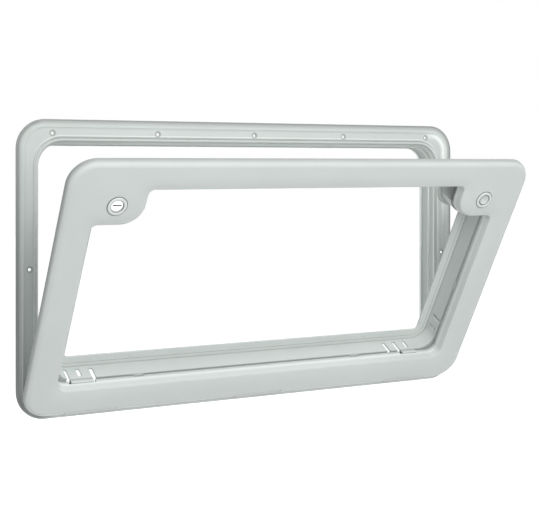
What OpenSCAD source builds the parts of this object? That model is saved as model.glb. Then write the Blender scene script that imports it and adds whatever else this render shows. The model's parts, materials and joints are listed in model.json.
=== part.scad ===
// Service door for a caravan or camper: a moulded wall frame, and a bottom hinged door frame
// that takes a panel cut from the vehicle's own wall. X runs across, Y into the wall, Z up.
// The origin is on the wall flange's back face, in the middle of its bottom edge.

/* [Wall frame] */
// Width over the wall flange
frame_w = 740; // [600:10:900]
// Height over the wall flange
frame_h = 415; // [340:5:600]
// Radius of the flange's outer corners
frame_r = 41; // [40:1:55]
// Width of the flange, from its outer edge to the opening
flange_w = 32.5; // [32:0.5:38]
// Radius of the opening's corners
mouth_r = 33; // [28:1:45]
// Thickness of the flange where the screws pass
land_t = 2.4; // [2:0.1:3]
// Height of the flange's two raised ridges above the wall
ridge_h = 3.4; // [3:0.1:3.6]
// How far the liner reaches into the wall
liner_depth = 36; // [32:1:60]
// Wall thickness of the liner
liner_t = 2.4; // [1.8:0.1:3]
// Height of the step at each of the liner's two ledges
ledge = 1.7; // [1:0.1:2.5]

/* [Wall frame screws] */
// Distance of the screw lines from the flange's edge
screw_inset = 19.3; // [17:0.1:21]
// Distance of the end screws from the flange's side edges
screw_end = 52; // [45:1:70]
// Screws along the top, and along the bottom
screw_count = 5; // [3:2:9]
// Diameter of the screw holes
screw_d = 4.4; // [3.5:0.1:5]
// Diameter of the countersinks
sink_d = 9.4; // [7:0.1:10]
// Depth of the countersinks
sink_h = 1.2; // [0.8:0.1:1.4]

/* [Hinge] */
// Angle at which the door stands open
rest_open = 30; // [0:1:170]
// Distance of the hinge line in front of the wall
hinge_out = 9; // [9:0.1:9.6]
// Radius of the door's hinge barrel
barrel_r = 5; // [4.5:0.1:5]
// Radius of the wall frame's hinge knuckles
knuckle_r = 4.3; // [3.8:0.1:4.5]
// Length of each knuckle
knuckle_w = 77; // [50:1:100]
// Distance of the outer knuckles' middles from the frame's sides
knuckle_side = 104; // [100:1:160]
// Diameter of the hinge pins
pin_d = 3; // [2:0.1:4]
// How far a pin reaches into the door on each side of its knuckle
pin_reach = 18; // [10:1:30]
// Radial clearance of the pins
pin_clear = 0.05; // [0.02:0.01:0.1]
// Gap at each end of a knuckle, and round it
knuckle_gap = 0.6; // [0.4:0.1:1]

/* [Door] */
// Distance of the door's edge inside the flange's edge
door_gap = 4; // [3.5:0.1:5]
// Radius of the door's outer corners
door_r = 37; // [34:1:50]
// Height of the door's face above the wall
face_h = 14; // [14:0.1:16]
// Height above the wall at which the door's edge ends
edge_h = 2.7; // [2.5:0.1:3]
// Radius of the door's rounded edge
edge_r = 9; // [7:0.5:10]
// Wall thickness of the front frame
shell = 2.2; // [1.8:0.1:2.6]
// Width of the front frame's stiles and rails
rail_w = 43.5; // [42:0.5:50]
// Radius of the front frame's lower inner corners
inner_r = 16; // [12:1:24]
// Drop of the face towards its inner edge
crown = 2.2; // [1:0.1:4]
// Width of the crowned band
crown_w = 22; // [16:1:24]
// How far the lip leans inwards between face and rear
lip_lean = 2.5; // [1:0.1:3]
// Depth inside the wall at which the front frame ends
seam_y = 6.7; // [5:0.1:9]
// Width of the seam between front and rear frame
seam = 0.8; // [0.5:0.1:1.5]

/* [Lock pads] */
// Distance of a pad's upright edge from the door's side
pad_x = 113; // [106:1:130]
// Distance of a pad's lower edge from the door's top
pad_z = 95.5; // [88:0.5:105]
// Radius of a pad's free corner
pad_r = 32; // [26:1:34]
// Radius of the fillets that join a pad to the frame
pad_fillet = 8; // [8:1:16]
// Distance of the lock centres from the door's sides
lock_x = 71; // [64:1:76]
// Distance of the lock centres below the door's top
lock_z = 64.4; // [58:0.2:68]
// Diameter of the lock rings
ring_d = 29.4; // [24:0.2:32]
// Inner diameter of the lock rings
ring_bore = 20.4; // [18:0.2:22]
// Height of the lock rings above the pad
ring_h = 1.6; // [1:0.1:2.5]
// Diameter of the key cylinder's and the push button's face
plug_d = 16.4; // [14:0.2:18]
// Travel of the push button
button_travel = 3; // [2:0.1:4]
// Length of the key slot
key_slot = 11.6; // [8:0.2:14]
// Length of the lock's cam, from its axis to its tip
cam_l = 36; // [34:0.5:40]

/* [Rear frame] */
// Step from the front frame's inner edge to the rear frame's inner wall
wall_step = 3.8; // [3.6:0.1:4.5]
// Wall thickness of the rear frame
wall_t = 2.4; // [2:0.1:3]
// Radius of the rear frame's lower inner corners
wall_r = 24; // [18:1:30]
// Depth inside the wall of the rear flange's front face
panel_y = 35.5; // [30:0.5:36]
// Thickness of the rear flange
back_t = 2.5; // [2:0.1:3]
// Width of the rear flange inside the frame
back_w = 17.7; // [12:0.1:22]
// Width of the rear flange round the lock pads
pad_lip = 3.8; // [2:0.1:6]
// Width of a slit beside a snap tongue
slit_w = 5.5; // [4:0.1:7]

/* [Hidden] */
$fn = 64;
eps = 0.5;

door_w = frame_w - 2 * door_gap;
door_h = frame_h - 2 * door_gap;
mid_z = frame_h / 2;
face_y = -face_h;
hinge_y = -hinge_out;
hinge_z = door_gap + barrel_r;
knuckles = [knuckle_side - frame_w / 2, 0, frame_w / 2 - knuckle_side];

// Flange profile
bevel_w = 5;
bevel_h = edge_h - 0.7;
edge_t = 0.8;
knuckle_foot = 1.5;
slope_w = 8.5;
slope_h = 2.7;
ridge_a = 9;
ridge_b = 11;
land_from = 11.8;
land_in = 8.5;
land_to = flange_w - land_in;
groove_a = 6.2;
groove_b = 8.2;
groove_floor = 0.8;
seal_gap = 0.2;
seal_top = ridge_h + 0.5;
mouth_w = 3;
mouth_d = 4;
ledge_y = 14;
back_ledge_y = 31;

// Front frame
rim_w = 12;
rib_in = flange_w - (groove_a + groove_b) / 2 - door_gap;
rib_t = 2;
rib_end = seal_top + 0.3;
boss_r = 3.2;
boss_in = rail_w - 6.5;
boss_top = face_y + crown + 0.6;
boss_end = 166;
boss_low = 93.5;
boss_high = 242;
boss_count = 4;
screw_core = 1.2;
lip_round = 2.6;
band_in = 0.2;
band_t = 2.2;
rim_rise = 2.5;
barrel_end = frame_w / 2 - 28;
mark_w = 0.8;
mark_d = 1;

// Rear frame
rear_y = seam_y + seam;
back_y = panel_y + back_t;
wall_in = rail_w + wall_step;
joint_w = 13;
joint_t = 2.4;
back_r = 6;
line_in = 6;
line_w = 0.7;
line_d = 0.5;
slit_to = 29;
long_from = seam_y;
short_from = 13.5;
slit_left = 70;
slit_right = 75;
slit_step = 19.3;
tongue_right = 84;
side_slit_z = 82.5;
tongue_y = 0.5;
dimple_x = 201;
dimple_d = 5;
tick_left = 261;
tick_right = 200;
tab_left = 196;
tab_right = 170;
side_tab = 174;
tab_w = 22;
tab_h = 2.4;

// Locks
housing_d = 24;
neck_d = 16;
neck_hole = neck_d + 0.6;
stem_d = 10;
slide_gap = 0.15;
seat_gap = 0.1;
well_y = face_y + 3;
neck_y = back_y + 1.2;
cam_y = neck_y + 0.3;
cam_t = 2.5;
cam_w = 11;
cam_hub_r = 7.5;
cam_clear = 0.05;
face_lift = 0.7 * ring_h;
slot_rise = 0.6;
slot_h = 1.2;
nut_t = 3;
nut_w = 12;

// Points of an arc about a centre, from angle a to angle b
function arc(centre, r, a, b, n) =
    [for (i = [0 : n]) let (t = a + (b - a) * i / n) centre + r * [cos(t), sin(t)]];

// Steps of a rounded rectangle: length, corner radius, and 1 for a turn towards the middle
function ring_steps(w, h, r) = [for (side = [h, w, h, w]) [side - 2 * r, r, 1]];

// Steps round the door's opening, past both lock pads
function pad_steps(inset, px, pz, low_r, out_r, fillet) =
    let (
        w = door_w,
        h = door_h,
        stile = h - inset - pz - low_r - fillet,
        under = px - inset - fillet - out_r,
        side = pz - inset - fillet - out_r,
        top = w - 2 * px - 2 * fillet
    )
    [
        [stile, fillet, 1],
        [under, out_r, -1],
        [side, fillet, 1],
        [top, fillet, 1],
        [side, out_r, -1],
        [under, fillet, 1],
        [stile, low_r, 1],
        [w - 2 * inset - 2 * low_r, low_r, 1]
    ];

// Sweeps a profile along straight steps and quarter turns. Its x points outwards, its y into the wall
module sweep(steps, i = 0) {
    if (i < len(steps)) {
        run = steps[i][0];
        r = steps[i][1];
        inward = steps[i][2] == 1;
        linear_extrude(run) children();
        translate([0, 0, run]) {
            if (inward)
                translate([-r, 0, 0]) rotate([-90, 0, 0]) rotate([0, 0, -90])
                    rotate_extrude(angle = 90) translate([r, 0]) children();
            else
                translate([r, 0, 0]) rotate([-90, 0, 0]) rotate([0, 0, 180])
                    rotate_extrude(angle = 90) translate([r, 0]) mirror([1, 0]) children();
            if (inward)
                translate([-r, 0, 0]) rotate([0, -90, 0]) translate([r, 0, 0]) sweep(steps, i + 1) children();
            else
                translate([r, 0, 0]) rotate([0, 90, 0]) translate([-r, 0, 0]) sweep(steps, i + 1) children();
        }
    }
}

// Sweeps a profile round a rounded rectangle about the door's middle
module ring_sweep(w, h, r) {
    translate([w / 2, 0, mid_z - h / 2 + r]) sweep(ring_steps(w, h, r)) children();
}

// Sweeps a profile round the door's opening
module pad_sweep(inset, px, pz, low_r, out_r, fillet) {
    translate([door_w / 2 - inset, 0, mid_z - door_h / 2 + inset + low_r])
        sweep(pad_steps(inset, px, pz, low_r, out_r, fillet)) children();
}

// Extrudes an upright outline between two depths
module plate(from, to) {
    translate([0, to, mid_z]) rotate([90, 0, 0]) linear_extrude(to - from) children();
}

module round_rect(w, h, r) {
    square([w - 2 * r, h], center = true);
    square([w, h - 2 * r], center = true);
    for (x = [-1, 1], y = [-1, 1]) translate([x * (w / 2 - r), y * (h / 2 - r)]) circle(r);
}

// Outline of a lock pad, measured from the door's upper right corner
module pad_outline(inset, px, pz, out_r, fillet) {
    translate([door_w / 2, door_h / 2]) {
        translate([-px + out_r, -pz]) square([px - out_r, pz]);
        translate([-px, -pz + out_r]) square([px, pz - out_r]);
        translate([-px + out_r, -pz + out_r]) circle(out_r);
        for (corner = [[-inset, -pz], [-px, -inset]])
            translate(corner) difference() {
                translate([-fillet, -fillet]) square(fillet + 0.01);
                translate([-fillet, -fillet]) circle(fillet);
            }
    }
}

// The opening inside a frame of the door, with both pads taken out
module opening(inset, px, pz, low_r, out_r, fillet) {
    difference() {
        round_rect(door_w - 2 * inset, door_h - 2 * inset, low_r);
        pad_outline(inset, px, pz, out_r, fillet);
        mirror([1, 0]) pad_outline(inset, px, pz, out_r, fillet);
    }
}

// Turns what belongs to the door about the hinge, to the angle at which it stands open
module on_door() {
    translate([0, hinge_y, hinge_z]) rotate([rest_open, 0, 0]) translate([0, -hinge_y, -hinge_z]) children();
}

// A bar along X with its ends at x and x + length
module bar_x(x, length, r) {
    translate([x, hinge_y, hinge_z]) rotate([0, 90, 0]) cylinder(r = r, h = length);
}

// Puts something on the axis of the left lock or the right button
module lock_place(side) {
    translate([side * (door_w / 2 - lock_x), 0, frame_h - door_gap - lock_z]) children();
}

// A round piece along a lock axis, from one depth to another
module lock_bar(side, from, to, r) {
    lock_place(side) translate([0, to, 0]) rotate([90, 0, 0]) cylinder(r = r, h = to - from);
}

// Wall frame
module outer_flange_profile() {
    polygon([
        [0, 0], [0, -edge_t], [-bevel_w, -bevel_h], [-slope_w, -slope_h], [-ridge_a, -ridge_h],
        [-ridge_b, -ridge_h], [-land_from, -land_t], [-land_from - eps, -land_t], [-land_from - eps, 0]
    ]);
}

module mouth_profile() {
    back = -2 * ledge - 0.6;
    polygon([
        [land_in + eps, 0], [land_in + eps, -land_t], [groove_b, -land_t], [groove_b, -groove_floor],
        [groove_a, -groove_floor], [groove_a, -ridge_h], [mouth_w + 0.4, -ridge_h], [mouth_w, -ridge_h + 0.3],
        [0.2, -ridge_h + mouth_d], [-0.3, ledge_y], [-0.3 - ledge, ledge_y], [-0.6 - ledge, back_ledge_y],
        [back, back_ledge_y], [back, liner_depth], [back + liner_t, liner_depth],
        [back + liner_t, back_ledge_y + 2], [liner_t - 0.6 - ledge, back_ledge_y],
        [liner_t - 0.3 - ledge, ledge_y + 2.5], [liner_t - 0.5, ledge_y], [liner_t - 0.5, 0]
    ]);
}

module knuckle(x) {
    bar_x(x - knuckle_w / 2, knuckle_w, knuckle_r);
    translate([x - knuckle_w / 2, hinge_y, hinge_z - knuckle_foot])
        cube([knuckle_w, hinge_out - 1, knuckle_r + knuckle_foot]);
}

module screw_places() {
    step = (frame_w - 2 * screw_end) / (screw_count - 1);
    for (z = [screw_inset, frame_h - screw_inset], i = [0 : screw_count - 1])
        translate([-frame_w / 2 + screw_end + i * step, 0, z]) children();
    for (x = [-1, 1]) translate([x * (frame_w / 2 - screw_inset), 0, mid_z]) children();
}

module wall_frame() {
    color([0.76, 0.78, 0.77]) difference() {
        union() {
            ring_sweep(frame_w, frame_h, frame_r) outer_flange_profile();
            ring_sweep(frame_w - 2 * flange_w, frame_h - 2 * flange_w, mouth_r) mouth_profile();
            plate(-land_t, 0) difference() {
                round_rect(frame_w - 2 * land_from, frame_h - 2 * land_from, frame_r - land_from);
                round_rect(frame_w - 2 * land_to, frame_h - 2 * land_to, mouth_r + land_in);
            }
            for (x = knuckles) knuckle(x);
        }
        screw_places() rotate([90, 0, 0]) {
            translate([0, 0, -1]) cylinder(d = screw_d, h = land_t + 2);
            translate([0, 0, land_t - sink_h]) cylinder(d1 = screw_d, d2 = sink_d, h = sink_h);
            translate([0, 0, land_t]) cylinder(d = sink_d, h = 1);
        }
        for (x = knuckles) bar_x(x - knuckle_w / 2 - 1, knuckle_w + 2, pin_d / 2 + pin_clear);
    }
}

module frame_seal() {
    color([0.2, 0.21, 0.21]) ring_sweep(frame_w - 2 * flange_w, frame_h - 2 * flange_w, mouth_r)
        translate([groove_a + seal_gap, 0]) {
            width = groove_b - groove_a - 2 * seal_gap;
            translate([0, -seal_top + width / 2]) square([width, seal_top - width / 2 - groove_floor]);
            translate([width / 2, -seal_top + width / 2]) circle(width / 2);
        }
}

module hinge_pin(x) {
    color([0.66, 0.67, 0.68]) bar_x(x - knuckle_w / 2 - pin_reach, knuckle_w + 2 * pin_reach, pin_d / 2);
}

// Door front frame
module rim_profile() {
    translate([-edge_r, face_y + edge_r]) intersection() {
        difference() {
            circle(edge_r);
            circle(edge_r - shell);
        }
        translate([0, -edge_r]) square(edge_r);
    }
    translate([-shell, face_y + edge_r]) square([shell, face_h - edge_r - edge_h]);
    translate([-rim_w - eps, face_y]) square([rim_w + eps - edge_r, shell]);
}

module rim_fill() {
    translate([-edge_r, face_y + edge_r]) intersection() {
        circle(edge_r);
        translate([0, -edge_r]) square(edge_r);
    }
    translate([-edge_r, face_y + edge_r]) square([edge_r, face_h - edge_r]);
    translate([-rim_w - eps, face_y]) square([rim_w + eps - edge_r, face_h]);
}

// The crowned band, the rounded inner edge, the leaning lip and the band behind it
module crown_profile() {
    drop_w = crown_w - lip_round;
    crown_r = (pow(drop_w, 2) + pow(crown, 2)) / (2 * crown);
    tilt = asin(drop_w / crown_r);
    lean = atan(lip_lean / (face_h - crown));
    inner_round = lip_round - shell + 0.6;
    crown_at = [crown_w, face_y + crown_r];
    round_at = [lip_round + lip_round * sin(tilt), face_y + crown + lip_round * cos(tilt)];
    polygon(concat(
        [[crown_w + eps, face_y]],
        arc(crown_at, crown_r, -90, -90 - tilt, 8),
        arc(round_at, lip_round, -90 - tilt, -180 + lean, 8),
        [
            [-lip_lean, 0], [band_in - band_t, 0], [band_in - band_t, seam_y],
            [band_in, seam_y], [band_in, 0]
        ],
        arc(round_at, inner_round, -180 + lean, -90 - tilt, 2),
        arc(crown_at, crown_r - shell, -90 - tilt, -90, 4),
        [[crown_w + eps, face_y + shell]]
    ));
}

// Tabs that key the rear frame's edge into the front frame's, two below and one on each side
module tab_places() {
    for (x = [-tab_left, tab_right]) translate([x, 0, door_gap]) children();
    for (side = [0, 1]) mirror([side, 0, 0])
        translate([door_w / 2, 0, side_tab]) rotate([0, -90, 0]) children();
}

// Snap tongues of the rear frame, one near each end of its lower side
module tongues(grow) {
    translate([slit_left + slit_step - frame_w / 2, 0])
        key_outline(2 * slit_step, rear_y - tongue_y, 0, grow);
    right_w = slit_right + 2 * slit_step - tongue_right;
    translate([frame_w / 2 - tongue_right - right_w / 2, 0])
        key_outline(right_w, rear_y - tongue_y, 0, grow);
}

// The outline of a tab or tongue that reaches forward from the rear frame's edge
module key_outline(width, reach, slope, grow) {
    tip = width / 2 - slope;
    polygon([
        [-width / 2 - grow, rear_y + eps], [-tip - grow, rear_y - reach - grow],
        [tip + grow, rear_y - reach - grow], [width / 2 + grow, rear_y + eps]
    ]);
}

module keys(from, depth, grow) {
    tab_places() translate([0, 0, from]) linear_extrude(depth) key_outline(tab_w, tab_h, 2 * tab_h, grow);
    translate([0, 0, door_gap + from]) linear_extrude(depth) tongues(grow);
}

module boss_places() {
    step = (door_w - 2 * boss_end) / (boss_count - 1);
    for (z = [-1, 1], i = [0 : boss_count - 1])
        translate([boss_end - door_w / 2 + i * step, 0, mid_z + z * (door_h / 2 - boss_in)]) children();
    for (x = [-1, 1], z = [boss_low, boss_high])
        translate([x * (door_w / 2 - boss_in), 0, door_gap + z]) children();
}

module door_shell() {
    ring_sweep(door_w, door_h, door_r) rim_profile();
    plate(face_y, face_y + shell) difference() {
        round_rect(door_w - 2 * rim_w, door_h - 2 * rim_w, door_r - rim_w);
        opening(rail_w - crown_w, pad_x - crown_w, pad_z - crown_w,
            inner_r + crown_w, pad_r - crown_w, pad_fillet + crown_w);
    }
    pad_sweep(rail_w, pad_x, pad_z, inner_r, pad_r, pad_fillet) crown_profile();
    ring_sweep(door_w - 2 * rib_in, door_h - 2 * rib_in, door_r - rib_in)
        translate([-rib_t / 2, face_y + shell - 0.3]) square([rib_t, face_h - shell + 0.3 - rib_end]);
    boss_places() translate([0, rear_y, 0]) rotate([90, 0, 0]) cylinder(r = boss_r, h = rear_y - boss_top);
}

module door_front_frame() {
    color([0.79, 0.81, 0.8]) on_door() difference() {
        union() {
            difference() {
                door_shell();
                translate([-frame_w / 2, face_y - 1, 0]) cube([frame_w, face_h + 20, hinge_z]);
                translate([-frame_w / 2, hinge_y + rim_rise, 0]) cube([frame_w, face_h, hinge_z + rim_rise]);
            }
            intersection() {
                bar_x(-door_w / 2, door_w, barrel_r);
                ring_sweep(door_w, door_h, door_r) rim_fill();
            }
        }
        for (x = knuckles) {
            bar_x(x - knuckle_w / 2 - knuckle_gap, knuckle_w + 2 * knuckle_gap, barrel_r + knuckle_gap);
            bar_x(x - knuckle_w / 2 - pin_reach - 1, knuckle_w + 2 * pin_reach + 2, pin_d / 2 + pin_clear);
        }
        for (x = [-barrel_end, barrel_end]) difference() {
            bar_x(x - mark_w / 2, mark_w, barrel_r + 1);
            bar_x(x - mark_w / 2, mark_w, barrel_r - mark_d);
        }
        for (side = [-1, 1]) lock_bar(side, face_y - 1, face_y + shell + 1, ring_bore / 2);
        boss_places() translate([0, rear_y + 1, 0]) rotate([90, 0, 0]) cylinder(r = screw_core, h = 11);
        keys(rail_w - shell, wall_step + shell, seam);
    }
}

// Door rear frame
module rear_sweep() {
    shift = wall_step;
    pad_sweep(wall_in, pad_x + shift, pad_z + shift, wall_r, pad_r + shift, pad_fillet - shift) children();
}

// The outline of the rear frame's inner wall, moved outwards
module rear_outline(grow) {
    shift = wall_step - grow;
    fillet = max(pad_fillet - shift, 1);
    opening(rail_w + shift, pad_x + shift, pad_z + shift, wall_r + grow, pad_r + shift, fillet);
}

// The plate that closes the rear of a lock pad
module pad_back() {
    intersection() {
        square([door_w - 2 * wall_in + 1, door_h - 2 * wall_in + 1], center = true);
        pad_outline(wall_in, pad_x + wall_step + 0.5, pad_z + wall_step + 0.5, pad_r, 1);
    }
}

// The slit at a given step from the left or the right side
module slit(side, place, from) {
    end = side < 0 ? slit_left : slit_right;
    translate([side * (frame_w / 2 - end - place * slit_step) - slit_w / 2, from, 0])
        cube([slit_w, slit_to - from, door_gap + wall_in + 1]);
}

module side_slit(z, from) {
    for (side = [0, 1]) mirror([side, 0, 0])
        translate([door_w / 2 - wall_in - 1, from, z - slit_w / 2])
            cube([wall_t + 2, slit_to - from, slit_w]);
}

module door_rear_frame() {
    color([0.74, 0.76, 0.75]) on_door() difference() {
        union() {
            rear_sweep() translate([0, rear_y]) square([wall_t, back_y - rear_y]);
            keys(wall_in - wall_t, wall_t, 0);
            rear_sweep() translate([0, rear_y]) square([joint_w, joint_t]);
            plate(panel_y, back_y) difference() {
                rear_outline(wall_t);
                opening(wall_in + back_w, pad_x + wall_step + pad_lip, pad_z + wall_step + pad_lip,
                    back_r, pad_r, back_r);
            }
            plate(panel_y, back_y) {
                pad_back();
                mirror([1, 0]) pad_back();
            }
        }
        plate(panel_y - 1, panel_y + line_d) difference() {
            rear_outline(-line_in);
            rear_outline(-line_in - line_w);
        }
        translate([-dimple_x, panel_y + line_d, door_gap + wall_in + line_in + dimple_d]) rotate([90, 0, 0])
            cylinder(d = dimple_d, h = 2);
        for (x = [-tick_left, tick_right]) translate([x, panel_y - 1, door_gap + wall_in + line_in])
            cube([line_w, 1 + line_d, line_in]);
        for (side = [-1, 1]) {
            slit(side, 1, short_from);
            slit(side, 2, tongue_y - 1);
        }
        slit(-1, 0, tongue_y - 1);
        slit(1, 3, long_from);
        side_slit(side_slit_z, short_from);
        side_slit(side_slit_z + slit_step, long_from);
        for (side = [-1, 1]) lock_bar(side, panel_y - 1, back_y + 1, neck_hole / 2);
        boss_places() translate([0, rear_y + joint_t + 1, 0]) rotate([90, 0, 0])
            cylinder(r = screw_core + 0.4, h = joint_t + 2);
    }
}

// Locks
module lock_ring(side) {
    color([0.8, 0.82, 0.81]) on_door() difference() {
        lock_bar(side, face_y - ring_h, face_y, ring_d / 2);
        lock_bar(side, face_y - ring_h - 1, face_y + 1, ring_bore / 2);
    }
}

module lock_housing(side) {
    color([0.7, 0.72, 0.71]) on_door() difference() {
        union() {
            lock_bar(side, face_y - ring_h / 2, face_y + shell + 1, ring_bore / 2 - slide_gap);
            lock_bar(side, face_y + shell + seat_gap, panel_y, housing_d / 2);
            lock_bar(side, panel_y - 0.1, neck_y, neck_d / 2);
        }
        lock_bar(side, face_y - ring_h, well_y + button_travel, plug_d / 2 + slide_gap);
        lock_bar(side, well_y, neck_y + 1, stem_d / 2 + slide_gap);
    }
}

module key_cylinder() {
    color([0.86, 0.87, 0.87]) on_door() difference() {
        union() {
            lock_bar(-1, face_y - face_lift, well_y + button_travel - slide_gap, plug_d / 2);
            lock_bar(-1, well_y, cam_y + cam_t, stem_d / 2);
        }
        lock_place(-1) translate([-key_slot / 2, face_y - ring_h - 1, slot_rise])
            cube([key_slot, ring_h + 3, slot_h]);
    }
}

module lock_cam() {
    color([0.6, 0.61, 0.62]) on_door() difference() {
        union() {
            lock_bar(-1, cam_y, cam_y + cam_t, cam_hub_r);
            lock_place(-1) translate([0, cam_y, -cam_w / 2]) cube([cam_l, cam_t, cam_w]);
        }
        lock_bar(-1, cam_y - 1, cam_y + cam_t + 1, stem_d / 2 + cam_clear);
    }
}

module cam_nut() {
    color([0.6, 0.61, 0.62]) on_door() lock_place(-1) translate([0, cam_y + cam_t, 0])
        rotate([-90, 0, 0]) cylinder(d = nut_w, h = nut_t, $fn = 6);
}

module push_button() {
    color([0.8, 0.82, 0.81]) on_door() {
        lock_bar(1, face_y - face_lift, well_y - 0.6, plug_d / 2);
        lock_bar(1, well_y - 0.7, neck_y, stem_d / 2);
    }
}

wall_frame();
frame_seal();
hinge_pin(knuckles[0]);  // hinge_pin_left
hinge_pin(knuckles[1]);  // hinge_pin_middle
hinge_pin(knuckles[2]);  // hinge_pin_right
door_front_frame();
door_rear_frame();
lock_ring(-1);  // lock_ring_left
lock_ring(1);  // lock_ring_right
lock_housing(-1);  // lock_housing_left
lock_housing(1);  // lock_housing_right
key_cylinder();
lock_cam();
cam_nut();
push_button();
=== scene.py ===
"""Looks of a bottom hinged service door for a caravan or camper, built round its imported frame."""

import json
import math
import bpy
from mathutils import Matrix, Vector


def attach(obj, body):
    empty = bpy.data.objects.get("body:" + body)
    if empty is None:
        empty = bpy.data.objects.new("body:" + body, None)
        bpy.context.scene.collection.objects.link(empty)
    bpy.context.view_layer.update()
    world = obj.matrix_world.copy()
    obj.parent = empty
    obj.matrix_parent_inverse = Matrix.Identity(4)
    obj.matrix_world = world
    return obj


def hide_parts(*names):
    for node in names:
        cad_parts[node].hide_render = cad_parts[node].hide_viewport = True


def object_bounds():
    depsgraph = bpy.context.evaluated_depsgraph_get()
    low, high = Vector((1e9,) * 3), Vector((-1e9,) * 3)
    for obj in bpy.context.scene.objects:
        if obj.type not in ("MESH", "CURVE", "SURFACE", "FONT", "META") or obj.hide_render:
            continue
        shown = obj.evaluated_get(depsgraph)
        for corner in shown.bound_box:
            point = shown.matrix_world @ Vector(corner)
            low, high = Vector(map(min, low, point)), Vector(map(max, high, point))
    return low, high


bl_info = {
    "name": "Service door finish",
    "version": (1, 0, 0),
    "blender": (4, 5, 0),
    "location": "3D View > Sidebar > Service door",
    "description": "Finishes a service door with its wall frame, locks, seal and screws",
    "category": "Object",
}

import bmesh
import bpy
from bpy.props import FloatProperty, FloatVectorProperty, PointerProperty
from mathutils import Matrix, Vector

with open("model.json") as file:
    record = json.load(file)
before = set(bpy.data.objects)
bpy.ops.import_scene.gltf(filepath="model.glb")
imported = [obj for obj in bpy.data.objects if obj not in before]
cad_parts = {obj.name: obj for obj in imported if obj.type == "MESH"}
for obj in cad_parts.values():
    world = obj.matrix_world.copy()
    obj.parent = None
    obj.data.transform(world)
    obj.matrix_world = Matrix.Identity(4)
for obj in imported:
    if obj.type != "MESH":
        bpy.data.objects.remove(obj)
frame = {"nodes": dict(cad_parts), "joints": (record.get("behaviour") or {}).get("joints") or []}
NODES = frame["nodes"]
CAD_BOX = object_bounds()
JOINTS = {joint["name"]: joint for joint in frame["joints"]}
HINGE = Vector(JOINTS["door_hinge"]["pos_m"])
KEY = Vector(JOINTS["key_turn"]["pos_m"])

# Directions on the wall frame, and out of and up the open door
ACROSS, INWARD, RISE = Vector((1, 0, 0)), Vector((0, 1, 0)), Vector((0, 0, 1))
OUTWARD = Vector(JOINTS["key_turn"]["axis"]).normalized()
UPWARD = Vector((0, OUTWARD.z, -OUTWARD.y))

# Rounded rectangles that face forward: middle, way up, half width, half height and corner radius
MIDDLE = Vector((0, 0, 0.2075))
FLANGE = (MIDDLE, RISE, 0.37, 0.2075, 0.041)
MOUTH = (MIDDLE, RISE, 0.3375, 0.175, 0.033)
LEAF = (HINGE + UPWARD * 0.1985, UPWARD, 0.366, 0.2035, 0.037)

# The screw holes in a quarter of the wall frame, from its middle
SCREW_HOLES = ((0.318, 0.1882), (0.159, 0.1882), (0, 0.1882), (0.3507, 0))
# The seam between the door's two frames and the heads of the screws behind it, in depth on the closed door
SEAM_DEPTH, SCREW_DEPTH = 0.0071, 0.0099

HOUSING_COLOUR = (0.3, 0.32, 0.31)
# Near-black rubber under the lock bezels; the colour also paints the shadow line round each bezel
GASKET_SHADOW_COLOUR = (0.05, 0.052, 0.052)
DISC_COLOUR = (0.93, 0.94, 0.94)
# Near-black in the key slot: the shutter's colour and painted shade in the slot
SHUTTER_SHADE_COLOUR = (0.08, 0.08, 0.08)
# Near-black in the screws' cross recesses: painted shade
RECESS_SHADE_COLOUR = (0.12, 0.12, 0.12)
# The painted highlight and painted shade at full strength, as shares of the plastic's colour
PAINTED_HIGHLIGHT_SHARE, PAINTED_SHADE_SHARE = 1.6, 0.3

# Lamps: degrees round from the front, degrees up, and watts
LAMPS = {
    "front": (0, 0, 21),
    "front_high": (0, 30, 28),
    "front_top": (0, 60, 7),
    "left_front": (-45, 30, 3),
    "left": (-90, 10, 11),
    "right_high": (90, 60, 14),
    "right_back": (135, 0, 8),
    "back": (180, 30, 32),
    "back_high": (180, 60, 12),
}
LAMP_CENTRE, LAMP_REACH, LAMP_SIZE = Vector((0, -0.1, 0.2)), 2.4, 1.2
WHITE = (1, 1, 1)


# Settings


class DoorFinish(bpy.types.PropertyGroup):
    """Colours, surface and small shapes of the moulded and metal pieces"""

    frame_colour: FloatVectorProperty(
        name="Wall frame", description="Colour of the wall frame", subtype="COLOR", default=(0.578, 0.613, 0.595)
    )
    door_colour: FloatVectorProperty(
        name="Door", description="Colour of the door and the button", subtype="COLOR", default=(0.572, 0.606, 0.59)
    )
    lock_colour: FloatVectorProperty(
        name="Locks", description="Colour of the lock rings", subtype="COLOR", default=(0.66, 0.69, 0.675)
    )
    metal_colour: FloatVectorProperty(
        name="Metal", description="Colour of the plated steel", subtype="COLOR", default=(0.55, 0.56, 0.57)
    )
    seal_colour: FloatVectorProperty(
        name="Seal", description="Colour of the rubber seal", subtype="COLOR", default=(0.42, 0.44, 0.43)
    )
    plastic_roughness: FloatProperty(
        name="Roughness", description="Roughness of the moulded plastic", default=0.46, min=0.1, max=0.9
    )
    edge_round: FloatProperty(
        name="Edge rounding", description="Radius of the moulded edges", subtype="DISTANCE", default=0.0004
    )
    face_radius: FloatProperty(
        name="Key face", description="Radius of the key lock's disc", subtype="DISTANCE", default=0.0082
    )
    slot_length: FloatProperty(
        name="Key slot", description="Length of the key slot", subtype="DISTANCE", default=0.0124
    )
    slot_width: FloatProperty(
        name="Slot width", description="Width of the key slot", subtype="DISTANCE", default=0.0017
    )
    slot_rise: FloatProperty(
        name="Slot rise", description="Height of the key slot above the axis", subtype="DISTANCE", default=0.0011
    )
    slot_depth: FloatProperty(
        name="Slot depth", description="Depth of the key slot", subtype="DISTANCE", default=0.0022
    )
    dish_depth: FloatProperty(
        name="Button dish", description="Depth of the hollow in the push button", subtype="DISTANCE", default=0.0022
    )


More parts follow.
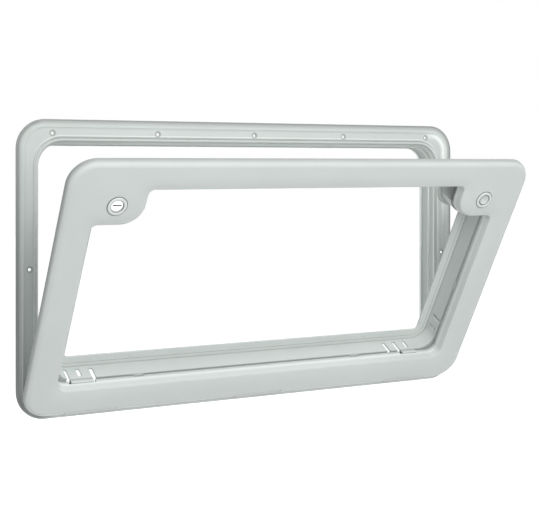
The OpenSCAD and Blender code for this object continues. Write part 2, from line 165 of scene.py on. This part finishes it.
class DoorStage(bpy.types.PropertyGroup):
    """Camera and floor"""

    camera_place: FloatVectorProperty(
        name="Camera", description="Place of the camera", subtype="TRANSLATION", default=(-0.8927, -1.6599, 0.3517)
    )
    camera_turn: FloatProperty(
        name="Turn", description="Angle of the view to the wall", subtype="ANGLE", default=math.radians(29.689)
    )
    focal: FloatProperty(name="Focal length", description="In pixels of the picture", default=1243.83)
    centre_x: FloatProperty(name="Centre across", description="Pixel of the optical axis", default=284.67)
    centre_y: FloatProperty(name="Centre down", description="Pixel of the horizon", default=164.73)
    floor_drop: FloatProperty(
        name="Floor", description="Depth of the floor below the wall frame", subtype="DISTANCE", default=0.45
    )


# Shader maths


class Socket:
    """An output of a node that takes part in shader maths"""

    def __init__(self, shading, value):
        self.shading = shading
        self.value = value

    def _maths(self, operation, *values):
        return self.shading.node("ShaderNodeMath", {"operation": operation}, *values)

    def __add__(self, other):
        return self._maths("ADD", self, other)

    __radd__ = __add__

    def __mul__(self, other):
        return self._maths("MULTIPLY", self, other)

    __rmul__ = __mul__

    def __sub__(self, other):
        return self._maths("SUBTRACT", self, other)

    def __rsub__(self, other):
        return self._maths("SUBTRACT", other, self)

    def __truediv__(self, other):
        return self._maths("DIVIDE", self, other)

    def __abs__(self):
        return self._maths("ABSOLUTE", self)

    def power(self, exponent):
        return self._maths("POWER", self, exponent)

    def at_least(self, other):
        return self._maths("MAXIMUM", self, other)

    def at_most(self, other):
        return self._maths("MINIMUM", self, other)

    def clamp(self):
        return self.shading.node("ShaderNodeClamp", {}, self, 0.0, 1.0)


class Shading:
    """A node tree whose nodes are added by one method"""

    def __init__(self, tree):
        self.tree = tree

    def node(self, kind, settings, *values, out=None, **named):
        """Adds a node, sets it up, joins its inputs by place or name, and returns one of its outputs"""
        made = self.tree.nodes.new(kind)
        for key, value in settings.items():
            setattr(made, key, value)
        pairs = list(zip([socket for socket in made.inputs if socket.enabled], values))
        pairs += [(made.inputs[name], value) for name, value in named.items()]
        for socket, value in pairs:
            if isinstance(value, Socket):
                self.tree.links.new(value.value, socket)
            else:
                socket.default_value = value
        return Socket(self, made.outputs[out] if out else next(socket for socket in made.outputs if socket.enabled))

    def seen(self):
        """1 for the camera, for reflections and through clear pieces, and 0 for the light that they get"""
        kinds = ("Is Camera Ray", "Is Glossy Ray", "Is Transmission Ray")
        return greatest(*[self.node("ShaderNodeLightPath", {}, out=kind) for kind in kinds])


class Material(Shading):
    """A material with the main shader's fixed values set"""

    def __init__(self, name, **fixed):
        self.data = bpy.data.materials.new(name)
        self.data.use_nodes = True
        super().__init__(self.data.node_tree)
        self.shader = self.tree.nodes["Principled BSDF"]
        for socket, value in fixed.items():
            self.shader.inputs[socket.replace("_", " ")].default_value = value

    def place(self):
        return self.node("ShaderNodeTexCoord", {}, out="Object")

    def along(self, direction, origin):
        """How far a point lies from an origin along a direction"""
        dot = self.node("ShaderNodeVectorMath", {"operation": "DOT_PRODUCT"}, self.place(), direction)
        return dot - origin.dot(direction)

    def inside_outline(self, centre, up, half_width, half_height, corner):
        """How far a point lies inside the outline of a rounded rectangle that faces forward"""
        across = abs(self.along(ACROSS, centre)) - (half_width - corner)
        rise = abs(self.along(up, centre)) - (half_height - corner)
        return corner - apart(across.at_least(0), rise.at_least(0)) - across.at_least(rise).at_most(0)

    def noise(self, scale, detail=2.0, roughness=0.5):
        grain = {"Scale": scale, "Detail": detail, "Roughness": roughness}
        return self.node("ShaderNodeTexNoise", {}, Vector=self.place(), **grain)

    def mix(self, factor, a, b):
        """Blends two colours"""
        return self.node("ShaderNodeMix", {"data_type": "RGBA"}, factor, a, b)

    def bump(self, height, strength, distance, **normal):
        return self.node("ShaderNodeBump", {}, Strength=strength, Distance=distance, Height=height, **normal)

    def feed(self, socket, value):
        self.tree.links.new(value.value, self.shader.inputs[socket])


def apart(across, rise):
    """The distance that two legs at a right angle span"""
    return (across.power(2) + rise.power(2)).power(0.5)


def greatest(first, *others):
    for other in others:
        first = first.at_least(other)
    return first


def band(measure, centre, half_width):
    """1 in the middle of a band, falling to 0 at both sides; the band is given in millimetres"""
    return (1 - abs(measure - centre / 1000) / (half_width / 1000)).clamp()


def ramp(measure, start, length):
    """0 up to a start and 1 beyond a length from there, in millimetres; a negative length leads downwards"""
    return ((measure - start / 1000) / (length / 1000)).clamp()


# Materials


def shade(colour, factor):
    """A paler or darker colour, with its alpha"""
    return (*[min(1.0, part * factor) for part in colour], 1.0)


def moulded_plastic(name, colour, roughness, grain=1.0, crease_shading=0.6, tones=None):
    """Satin injection moulded plastic: a faint cloudiness, a spark eroded grain, flow marks and painted shade in
    the creases. The function tones gives the material's painted highlights and painted shade, by place on the piece"""
    made = Material(name, IOR=1.5, Specular_IOR_Level=0.3)
    cloud = made.noise(9.0, 3.0)
    grain_height = made.noise(2600.0, 2.0, 0.6)
    swell = made.noise(38.0)
    tone = (cloud - 0.5) * 1.6 + 0.5
    unshaded = made.mix(tone.clamp(), shade(colour, 0.97), shade(colour, 1.03))
    # Painted shade: the colour darkens in creases and corners that the ambient occlusion finds
    openness = made.node("ShaderNodeAmbientOcclusion", {"samples": 8}, Distance=0.005, out="AO")
    painted_shade = ((1 - openness) * 2.3 - 0.55).clamp() * crease_shading
    # Painted highlights lighten the colour and painted shade darkens it, by place on the piece
    if tones:
        pale, dark = tones(made)
        unshaded = made.mix(pale.clamp(), unshaded, shade(colour, PAINTED_HIGHLIGHT_SHARE))
        painted_shade = painted_shade.at_least(dark).clamp()
    made.feed("Base Color", made.mix(painted_shade, unshaded, shade(colour, PAINTED_SHADE_SHARE)))
    made.feed("Roughness", (roughness + (grain_height - 0.5) * 0.10 + (cloud - 0.5) * 0.08).clamp())
    fine = made.bump(grain_height, 0.10 * grain, 0.0001)
    made.feed("Normal", made.bump(swell, 0.05, 0.0006, Normal=fine))
    return made.data


def wall_tones(made):
    """The wall frame's painted highlights on its ridges, ledges, land and rear step, and its painted shade on the
    edge, chamfers, a top corner and the screw seats
    """
    inside = made.inside_outline(*FLANGE)
    outside = 0 - made.inside_outline(*MOUTH)
    across, depth, rise = [made.along(direction, MIDDLE) for direction in (ACROSS, INWARD, RISE)]
    left, right = ramp(across, -310, -30), ramp(across, 310, 30)
    top, upper, bottom = ramp(rise, 160, 20), ramp(rise, 45, 50), ramp(rise, -192, -10)
    bore, throat = ramp(outside, 1.2, -0.6), ramp(outside, -2.8, -0.6)

    # Painted highlights, with a pool of painted light on the upper part of the right side's land
    rear_step = band(depth, 35, 8) * throat * 1.2
    ledge = band(depth, 14, 2.4) * bore * 0.8
    mouth_edge = band(depth, 2.4, 2.2) * bore
    inner_ridge = band(outside, 4.7, 1.6) * right * 0.7
    groove_lip = band(outside, 9.9, 1.2) * top * 0.6
    land = band(inside, 15.5, 7) * right * upper * 0.9

    # Painted shade on the outer edge, the left bevel, the foot of a ridge, the mouth's chamfer, the upper left
    # corner and round the screw seats
    edge = ramp(inside, 11.5, -11.5).power(1.6) * (1 - bottom) * 0.9
    left_bevel = band(inside, 2.8, 5) * left * 0.88
    ridge_foot = band(inside, 12.9, 1.5) * 0.16
    chamfer = band(outside, 1.6, 1.6) * 0.4
    corner = band(depth, 6, 9) * ramp(across, -180, -120) * top * 0.8
    front = ramp(depth, -0.8, -0.4)
    seats = [ramp(apart(abs(across) - x, abs(rise) - z), 5.2, -0.8) * front * 0.5 for x, z in SCREW_HOLES]

    pale = rear_step + ledge + mouth_edge + inner_ridge + groove_lip + land
    return pale, greatest(edge, left_bevel, ridge_foot, chamfer, corner, *seats)


def door_tones(made):
    """The door's painted highlights on its lip and underside, and its painted shade on the edge, seam, lip foot and
    the recesses beside the pads
    """
    inside = made.inside_outline(*LEAF)
    out = made.along(OUTWARD, opened(0, SEAM_DEPTH, 0))
    across, up = made.along(ACROSS, HINGE), made.along(UPWARD, HINGE)
    lip = ramp(inside, 34, 2)

    # Painted highlights on the front of the lip and along the door's underside
    lip_front = band(out, 7.5, 4) * lip * 0.4
    underside = ramp(up, 2, -2) * 0.6

    # Painted shade along the edge, the seam, the seam's lower right corner, the lip's foot and in the recesses
    # beside the pads
    edge = ramp(inside, 3.2, -3.2).power(1.6) * ramp(up, 6, 10) * 0.6
    seam = band(out, 0, 2) * 0.68
    corner_seam = band(out, 0, 2.4) * ramp(across, 270, 30) * ramp(up, 120, -40) * 0.75
    lip_foot = band(out, 1.5, 4) * lip * 0.25
    beside_pad = ramp(abs(abs(across) - 0.245), 17, -2) * ramp(abs(up - 0.347), 24, -3)
    recess = beside_pad * ramp(out, -30, 30) * ramp(out, 6, -2) * 0.85
    return lip_front + underside, greatest(edge, seam, corner_seam, lip_foot, recess)


def rubber(name, colour):
    """Dull extruded rubber with a fine bloom, with painted light that makes it paler along the wall frame's sides
    """
    made = Material(name, IOR=1.5, Specular_IOR_Level=0.35)
    bloom = made.noise(140.0, 4.0)
    cord = made.mix(bloom, shade(colour, 0.85), shade(colour, 1.25))
    # Painted light: paler where the seal runs along the wall frame's sides
    side = ramp(abs(made.along(ACROSS, MIDDLE)), 310, 30) * 0.9
    made.feed("Base Color", made.mix(side, cord, shade(colour, 1.7)))
    made.feed("Roughness", (0.62 + (bloom - 0.5) * 0.2).clamp())
    made.feed("Normal", made.bump(made.noise(1500.0), 0.15, 0.0001))
    return made.data


def plated_steel(name, colour, roughness=0.32):
    """Zinc plated or bright steel with soft drawing marks"""
    made = Material(name, Metallic=1.0)
    marks = made.noise(420.0, 4.0, 0.7)
    made.feed("Base Color", made.mix(marks, shade(colour, 0.9), shade(colour, 1.06)))
    made.feed("Roughness", (roughness + (marks - 0.5) * 0.22).clamp())
    made.feed("Normal", made.bump(marks, 0.08, 0.0001))
    return made.data


# Finish of the frame's own nodes


def smooth_group(angle):
    """A geometry node group that shades smooth, keeps edges sharper than an angle and drops stored normals"""
    group = bpy.data.node_groups.new("smooth_by_angle", "GeometryNodeTree")
    group.interface.new_socket("Geometry", in_out="INPUT", socket_type="NodeSocketGeometry")
    group.interface.new_socket("Geometry", in_out="OUTPUT", socket_type="NodeSocketGeometry")
    add, link = group.nodes.new, group.links.new
    start, end = add("NodeGroupInput"), add("NodeGroupOutput")
    drop = add("GeometryNodeRemoveAttribute")
    drop.inputs["Name"].default_value = "custom_normal"
    faces, edges = add("GeometryNodeSetShadeSmooth"), add("GeometryNodeSetShadeSmooth")
    edges.domain = "EDGE"
    bend = add("GeometryNodeInputMeshEdgeAngle")
    limit = add("FunctionNodeCompare")
    limit.operation = "LESS_THAN"
    limit.inputs["B"].default_value = angle
    link(start.outputs[0], drop.inputs["Geometry"])
    link(drop.outputs["Geometry"], faces.inputs["Geometry"])
    link(faces.outputs["Geometry"], edges.inputs["Geometry"])
    link(bend.outputs["Unsigned Angle"], limit.inputs["A"])
    link(limit.outputs["Result"], edges.inputs["Shade Smooth"])
    link(edges.outputs["Geometry"], end.inputs[0])
    return group


def modify(obj, name, kind, **settings):
    made = obj.modifiers.new(name, kind)
    for key, value in settings.items():
        setattr(made, key, value)


def dress(name, material, group, width):
    """Gives a node its material, joins its loose triangles, rounds its sharp edges and shades it smooth"""
    obj = NODES[name]
    obj.data.materials.clear()
    obj.data.materials.append(material)
    modify(obj, "weld", "WELD", merge_threshold=0.000002)
    modify(obj, "flatten", "DECIMATE", decimate_type="DISSOLVE", angle_limit=math.radians(0.05))
    modify(obj, "smooth", "NODES", node_group=group)
    if width:
        sharp = {"limit_method": "ANGLE", "angle_limit": math.radians(40)}
        modify(obj, "edges", "BEVEL", width=width, segments=2, **sharp)
    modify(obj, "normals", "WEIGHTED_NORMAL", keep_sharp=True, weight=80)


class DOOR_OT_frames(bpy.types.Operator):
    """Finishes the wall frame and both door frames as satin moulded plastic"""

    bl_idname = "door.frames"
    bl_label = "Frames"

    def execute(self, context):
        finish = context.scene.door_finish
        group = smooth_group(math.radians(32))
        satin = finish.plastic_roughness
        wall = moulded_plastic("wall_frame_plastic", finish.frame_colour, satin, tones=wall_tones)
        door = moulded_plastic("door_plastic", finish.door_colour, satin, tones=door_tones)
        for name, material in (("wall_frame", wall), ("door_front_frame", door), ("door_rear_frame", door)):
            dress(name, material, group, finish.edge_round)
        return {"FINISHED"}


class DOOR_OT_fittings(bpy.types.Operator):
    """Finishes the seal, the hinge pins, the lock housings and the cam"""

    bl_idname = "door.fittings"
    bl_label = "Fittings"

    def execute(self, context):
        finish = context.scene.door_finish
        group = smooth_group(math.radians(30))
        steel = plated_steel("zinc_plate", finish.metal_colour)
        dress("frame_seal", rubber("seal_rubber", finish.seal_colour), group, 0)
        for place in ("left", "middle", "right"):
            dress(f"hinge_pin_{place}", steel, group, 0.0004)
        dress("lock_housing_left", moulded_plastic("housing_plastic", HOUSING_COLOUR, 0.4), group, 0.0002)
        dress("lock_housing_right", moulded_plastic("button_seat_plastic", HOUSING_COLOUR, 0.4), group, 0.0002)
        for name in ("lock_cam", "cam_nut"):
            dress(name, steel, group, 0.0003)
        return {"FINISHED"}


# Turned pieces, drawn with the lock's or the screw's axis as z, outwards


def opened(x, y, z):
    """Turns a place on the closed door about the hinge to where it is at rest"""
    reach, rise = y - HINGE.y, z - HINGE.z
    return Vector((x, HINGE.y, HINGE.z)) - OUTWARD * reach + UPWARD * rise


def space_at(place):
    """From a drawing about z to a place on the open door"""
    turn = Matrix((ACROSS, UPWARD, OUTWARD)).transposed().to_4x4()
    return Matrix.Translation(place) @ turn


def lock_space(side):
    """From a drawing about z to a lock's place: -1 for the key lock, 1 for the push button"""
    return space_at(Vector((KEY.x * -side, KEY.y, KEY.z)))


def spun(profile):
    """Spins (radius, height) points in millimetres about z into a closed shape"""
    shape = bmesh.new()
    verts = [shape.verts.new((radius / 1000, 0, height / 1000)) for radius, height in profile]
    edges = [shape.edges.new(pair) for pair in zip(verts, verts[1:])]
    bmesh.ops.spin(
        shape, geom=verts + edges, axis=(0, 0, 1), cent=(0, 0, 0), angle=math.tau, steps=96, use_merge=True
    )
    bmesh.ops.remove_doubles(shape, verts=shape.verts, dist=1e-7)
    bmesh.ops.recalc_face_normals(shape, faces=shape.faces)
    return shape


def box_lines(half_width, half_height, rise=0):
    """The lines along the four sides of a box in a flat end, each as a place and a normal"""
    sides = [((x, 0, 0), (1, 0, 0)) for x in (-half_width, half_width)]
    return sides + [((0, rise + y, 0), (0, 1, 0)) for y in (-half_height, half_height)]


def recessed(radius, height, lines, inside, depth, outline, steps=64):
    """A turned piece, in metres, with a recess in its flat end. Lines cut the end, the function inside tells
    which of its parts sink by the depth, and the outline leads on as (radius, height) points"""
    shape = bmesh.new()
    bmesh.ops.create_circle(shape, cap_ends=True, segments=steps, radius=radius)
    bmesh.ops.translate(shape, verts=shape.verts, vec=(0, 0, height))
    for place, normal in lines:
        everything = shape.verts[:] + shape.edges[:] + shape.faces[:]
        bmesh.ops.bisect_plane(shape, geom=everything, plane_co=place, plane_no=normal)
    faces = [face for face in shape.faces if inside(face.calc_center_median())]
    floor = bmesh.ops.extrude_face_region(shape, geom=faces)["geom"]
    bmesh.ops.delete(shape, geom=faces, context="FACES_ONLY")
    bmesh.ops.translate(shape, verts=only_verts(floor), vec=(0, 0, -depth))
    # The recess's floor and walls take the second material, whose dark colour paints shade into the recess
    for face in shape.faces:
        face.material_index = int(face.calc_center_median().z < height - depth / 4)
    last = (radius, height)
    for point in outline:
        rim = bmesh.ops.extrude_edge_only(shape, edges=open_edges(shape))["geom"]
        grow = point[0] / last[0]
        bmesh.ops.scale(shape, verts=only_verts(rim), vec=(grow, grow, 1))
        bmesh.ops.translate(shape, verts=only_verts(rim), vec=(0, 0, point[1] - last[1]))
        last = point
    bmesh.ops.edgeloop_fill(shape, edges=open_edges(shape))
    bmesh.ops.recalc_face_normals(shape, faces=shape.faces)
    return shape


def only_verts(geometry):
    return [part for part in geometry if isinstance(part, bmesh.types.BMVert)]


def open_edges(shape):
    return [edge for edge in shape.edges if edge.is_boundary]


def piece(name, shape, space, body, slot, *materials):
    """Puts a drawn shape in its place, shades it and makes it ride on its body"""
    shape.transform(space)
    mesh = bpy.data.meshes.new(name)
    shape.to_mesh(mesh)
    shape.free()
    mesh.shade_smooth()
    mesh.set_sharp_from_angle(angle=math.radians(32))
    made = bpy.data.objects.new(name, mesh)
    bpy.context.scene.collection.objects.link(made)
    for material in materials:
        mesh.materials.append(material)
    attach(made, body)
    return made


class DOOR_OT_rings(bpy.types.Operator):
    """Turns the rounded bezel of each lock and the thin near-black gasket under it, whose colour also paints the
    shadow line round the bezel
    """

    bl_idname = "door.rings"
    bl_label = "Lock rings"

    def execute(self, context):
        finish = context.scene.door_finish
        plastic = moulded_plastic("ring_plastic", finish.lock_colour, 0.34, grain=0.5, crease_shading=0.3)
        gasket = rubber("gasket_shadow_rubber", GASKET_SHADOW_COLOUR)
        bezel = [
            (10.2, 0), (10.2, 0.88), (9.2, 0.88), (9.15, 1.05), (9.4, 1.35), (10.1, 1.55), (11.0, 1.6), (12.0, 1.5),
            (12.7, 1.2), (13.1, 0.85), (13.25, 0.5), (13.25, 0.4), (12.8, 0.32), (12.8, 0), (10.2, 0),
        ]
        # The cord is a thin rubber gasket; its near-black colour also paints the shadow line round the bezel
        cord = [(12.6, -0.3), (14.0, -0.3), (14.15, 0.1), (14.0, 0.3), (13.6, 0.36), (12.9, 0.26), (12.6, -0.3)]
        for side, name in ((-1, "left"), (1, "right")):
            ring = piece(f"bezel_{name}", spun(bezel), lock_space(side), "door", "lock_plastic", plastic)
            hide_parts(f"lock_ring_{name}")
            piece(f"gasket_{name}", spun(cord), lock_space(side), "door", "seal_rubber", gasket)
        return {"FINISHED"}


class DOOR_OT_key(bpy.types.Operator):
    """Makes the key cylinder with its bright disc and its slot"""

    bl_idname = "door.key"
    bl_label = "Key cylinder"

    def execute(self, context):
        finish = context.scene.door_finish
        reach, half, rise = finish.slot_length / 2, finish.slot_width / 2, finish.slot_rise
        face, plug = finish.face_radius, 0.005
        outline = [(face, -0.0007), (face, -0.00585), (plug, -0.00585), (plug, -0.0555), (plug - 0.0005, -0.056)]

        def in_slot(place):
            return abs(place.x) < reach and abs(place.y - rise) < half

        lines = box_lines(reach, half, rise)
        shape = recessed(face - 0.0003, -0.0004, lines, in_slot, finish.slot_depth, outline)
        bright = plated_steel("bright_disc", DISC_COLOUR, 0.3)
        # The slot's floor and walls take a near-black: the shutter's colour and painted shade in the slot
        dark = plated_steel("slot_shutter_shade", SHUTTER_SHADE_COLOUR, 0.5)
        made = piece("key_barrel", shape, lock_space(-1), "key", "key_metal", bright, dark)
        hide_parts("key_cylinder")
        return {"FINISHED"}


class DOOR_OT_button(bpy.types.Operator):
    """Turns the push button with its hollow face"""

    bl_idname = "door.button"
    bl_label = "Push button"

    def execute(self, context):
        finish = context.scene.door_finish
        depth = finish.dish_depth * 1000
        dish = [(6.7 * i / 10, 1.0 - depth * (1 - (i / 10) ** 2)) for i in range(11)]
        rim = [(6.9, 1.09), (7.1, 1.12), (7.3, 1.07), (7.5, 0.85), (7.5, -2.4)]
        stem = [(5, -2.4), (5, -52.8), (4.6, -53.2), (0, -53.2)]
        plastic = moulded_plastic("button_plastic", finish.door_colour, 0.3, grain=0.4, crease_shading=0.2)
        made = piece("button", spun(dish + rim + stem), lock_space(1), "button", "lock_plastic", plastic)
        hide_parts("push_button")
        return {"FINISHED"}


class DOOR_OT_screws(bpy.types.Operator):
    """Makes the small screws that hold the rear frame to the front frame's bosses"""

    bl_idname = "door.screws"
    bl_label = "Assembly screws"

    def execute(self, context):
        steel = plated_steel("screw_zinc", context.scene.door_finish.metal_colour, 0.28)
        # The cross recess of each head is near-black: painted shade
        dark = plated_steel("screw_recess_shade", RECESS_SHADE_COLOUR, 0.5)
        reach, half, shank = 0.00105, 0.00028, 0.00115
        outline = [(0.002, 0.0012), (0.00245, 0.0006), (0.0025, 0), (shank, 0), (shank, -0.0065), (0.0003, -0.0075)]
        lines = box_lines(reach, half) + box_lines(half, reach)

        def in_cross(place):
            return min(abs(place.x), abs(place.y)) < half and max(abs(place.x), abs(place.y)) < reach

        flip = Matrix.Rotation(math.pi, 4, "X")
        rows = [(x, z) for z in (0.041, 0.374) for x in (-0.2, -0.2 / 3, 0.2 / 3, 0.2)]
        sides = [(x, z) for x in (-0.329, 0.329) for z in (0.0975, 0.246)]
        for number, (x, z) in enumerate(rows + sides, 1):
            head = recessed(0.0013, 0.0015, lines, in_cross, 0.0008, outline, steps=24)
            space = space_at(opened(x, SCREW_DEPTH, z)) @ flip @ Matrix.Rotation(number * 0.9, 4, "Z")
            piece(f"assembly_screw_{number}", head, space, "door", "cam_steel", steel, dark)
        return {"FINISHED"}


# Camera, floor and light


class DOOR_OT_stage(bpy.types.Operator):
    """Adds the camera, the floor, the lamps and the world"""

    bl_idname = "door.stage"
    bl_label = "Stage"

    def execute(self, context):
        scene = context.scene
        add_camera(scene, scene.door_stage)
        add_floor(scene, CAD_BOX[0].z - scene.door_stage.floor_drop)
        for name, (turn, rise, watts) in LAMPS.items():
            add_lamp(scene, name, math.radians(turn), math.radians(rise), watts)
        add_world(scene)
        scene.view_settings.view_transform = "Standard"
        return {"FINISHED"}


def add_camera(scene, stage):
    """A camera with the photo's place, focal length and optical centre"""
    width, height, sensor = 538, 532, 36
    camera = bpy.data.objects.new("camera", bpy.data.cameras.new("camera"))
    camera.location = stage.camera_place
    camera.rotation_euler = (math.radians(90), 0, -stage.camera_turn)
    camera.data.sensor_width = sensor
    camera.data.lens = stage.focal / width * sensor
    camera.data.shift_x = (width / 2 - stage.centre_x) / width
    camera.data.shift_y = (stage.centre_y - height / 2) / width
    camera.data.clip_start = 0.01
    camera.data.clip_end = 50
    scene.collection.objects.link(camera)
    scene.camera = camera


def add_floor(scene, level):
    """A white floor that stays white to the camera and keeps the object's shadow"""
    mesh = bpy.data.meshes.new("floor")
    shape = bmesh.new()
    bmesh.ops.create_grid(shape, x_segments=1, y_segments=1, size=12)
    bmesh.ops.translate(shape, verts=shape.verts, vec=(0, 0, level))
    shape.to_mesh(mesh)
    shape.free()
    floor = bpy.data.objects.new("floor", mesh)
    scene.collection.objects.link(floor)
    made = Material("floor_white", Roughness=0.9, Specular_IOR_Level=0.1)
    made.feed("Base Color", made.mix(made.noise(30.0), shade(WHITE, 0.48), shade(WHITE, 0.52)))
    glow = made.node("ShaderNodeEmission", {}, Color=shade(WHITE, 1), Strength=made.seen() * 0.92)
    both = made.node("ShaderNodeAddShader", {}, Socket(made, made.shader.outputs[0]), glow)
    made.tree.links.new(both.value, made.tree.nodes["Material Output"].inputs["Surface"])
    mesh.materials.append(made.data)


def add_lamp(scene, name, turn, rise, watts):
    """A square soft box that looks at the object, turned from the front about the vertical and raised"""
    away = Vector((math.sin(turn) * math.cos(rise), -math.cos(turn) * math.cos(rise), math.sin(rise)))
    data = bpy.data.lights.new(name, "AREA")
    data.shape = "SQUARE"
    data.size = LAMP_SIZE
    data.energy = watts
    made = bpy.data.objects.new(name, data)
    made.location = LAMP_CENTRE + away * LAMP_REACH
    made.rotation_euler = (-away).to_track_quat("-Z", "Y").to_euler()
    scene.collection.objects.link(made)


def add_world(scene):
    """A white backdrop to the camera and in reflections, and a plain grey light for the rest"""
    scene.world = bpy.data.worlds.new("studio")
    scene.world.use_nodes = True
    made = Shading(scene.world.node_tree)
    made.tree.nodes.clear()
    soft = made.node("ShaderNodeBackground", {}, Color=(0.97, 1.0, 1.0, 1), Strength=0.22)
    white = made.node("ShaderNodeBackground", {}, Color=shade(WHITE, 1), Strength=1.0)
    both = made.node("ShaderNodeMixShader", {}, made.seen(), soft, white)
    output = made.tree.nodes.new("ShaderNodeOutputWorld")
    made.tree.links.new(both.value, output.inputs["Surface"])


class DOOR_PT_panel(bpy.types.Panel):
    """Lists the settings and the pieces of the service door"""

    bl_idname = "DOOR_PT_panel"
    bl_label = "Service door"
    bl_space_type = "VIEW_3D"
    bl_region_type = "UI"
    bl_category = "Service door"

    def draw(self, context):
        scene = context.scene
        for group, settings in ((DoorFinish, scene.door_finish), (DoorStage, scene.door_stage)):
            for name in group.__annotations__:
                self.layout.prop(settings, name)
        for operator in OPERATORS:
            self.layout.operator(operator.bl_idname)


OPERATORS = (
    DOOR_OT_frames, DOOR_OT_fittings, DOOR_OT_rings, DOOR_OT_key, DOOR_OT_button, DOOR_OT_screws, DOOR_OT_stage
)
CLASSES = (DoorFinish, DoorStage, *OPERATORS, DOOR_PT_panel)


def register():
    for one in CLASSES:
        bpy.utils.register_class(one)
    bpy.types.Scene.door_finish = PointerProperty(type=DoorFinish)
    bpy.types.Scene.door_stage = PointerProperty(type=DoorStage)


def unregister():
    del bpy.types.Scene.door_finish
    del bpy.types.Scene.door_stage
    for one in reversed(CLASSES):
        bpy.utils.unregister_class(one)


def main():
    register()
    bpy.ops.door.frames()
    bpy.ops.door.fittings()
    bpy.ops.door.rings()
    bpy.ops.door.key()
    bpy.ops.door.button()
    bpy.ops.door.screws()
    bpy.ops.door.stage()


if __name__ == "__main__":
    main()
